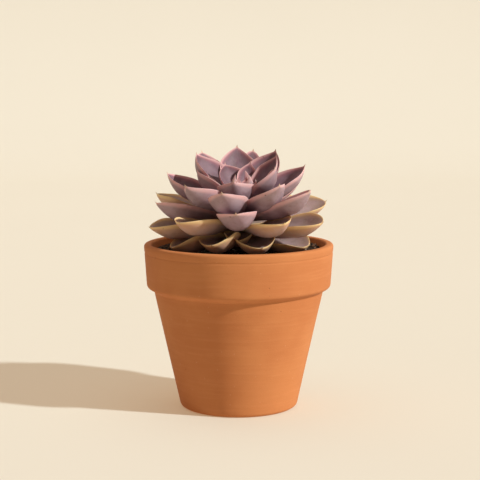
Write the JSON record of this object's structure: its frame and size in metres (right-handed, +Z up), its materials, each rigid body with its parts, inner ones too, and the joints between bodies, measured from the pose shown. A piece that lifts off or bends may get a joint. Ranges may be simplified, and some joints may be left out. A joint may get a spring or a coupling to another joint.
{
  "type": "potted succulent",
  "caption": "Rosette succulent with thick, cupped, pointed mauve leaves on a short stem, planted in a round tapered terracotta pot with a deep plain rim.",
  "frame": {"origin": "centre of the pot's foot, on the surface that the pot stands on", "axes": "+Z up along the pot's axis, -Y towards the front, to which the rosette leans, +X to the right seen from the front"},
  "size_m": [0.11, 0.11, 0.1505],
  "materials": {
    "terracotta": "unglazed fired clay, matt, with faint turning lines",
    "potting_mix": "dark, coarse, damp growing mix with pale grit",
    "stem": "matt, fibrous",
    "outer_leaf": "waxy, dusted with pale bloom, with ochre margins",
    "inner_leaf": "waxy, dusted with pale bloom, with pink margins"
  },
  "bodies": {
    "root": {"pot": "terracotta", "soil": "potting_mix", "stem": "stem", "leaf_01": "outer_leaf", "leaf_02": "outer_leaf", "leaf_03": "outer_leaf", "leaf_04": "outer_leaf", "leaf_05": "outer_leaf", "leaf_06": "outer_leaf", "leaf_07": "outer_leaf", "leaf_08": "outer_leaf", "leaf_09": "outer_leaf", "leaf_10": "outer_leaf", "leaf_11": "outer_leaf", "leaf_12": "outer_leaf", "leaf_13": "outer_leaf", "leaf_14": "outer_leaf", "leaf_15": "outer_leaf", "leaf_16": "outer_leaf", "leaf_17": "outer_leaf", "leaf_18": "outer_leaf", "leaf_19": "inner_leaf", "leaf_20": "inner_leaf", "leaf_21": "inner_leaf", "leaf_22": "inner_leaf", "leaf_23": "inner_leaf", "leaf_24": "inner_leaf", "leaf_25": "inner_leaf", "leaf_26": "inner_leaf", "leaf_27": "inner_leaf", "leaf_28": "inner_leaf", "leaf_29": "inner_leaf", "leaf_30": "inner_leaf", "leaf_31": "inner_leaf", "leaf_32": "inner_leaf", "leaf_33": "inner_leaf", "leaf_34": "inner_leaf", "leaf_35": "inner_leaf", "leaf_36": "inner_leaf", "leaf_37": "inner_leaf", "leaf_38": "inner_leaf", "leaf_39": "inner_leaf", "leaf_40": "inner_leaf", "leaf_41": "inner_leaf", "leaf_42": "inner_leaf", "leaf_43": "inner_leaf", "leaf_44": "inner_leaf"}
  },
  "joints": []
}
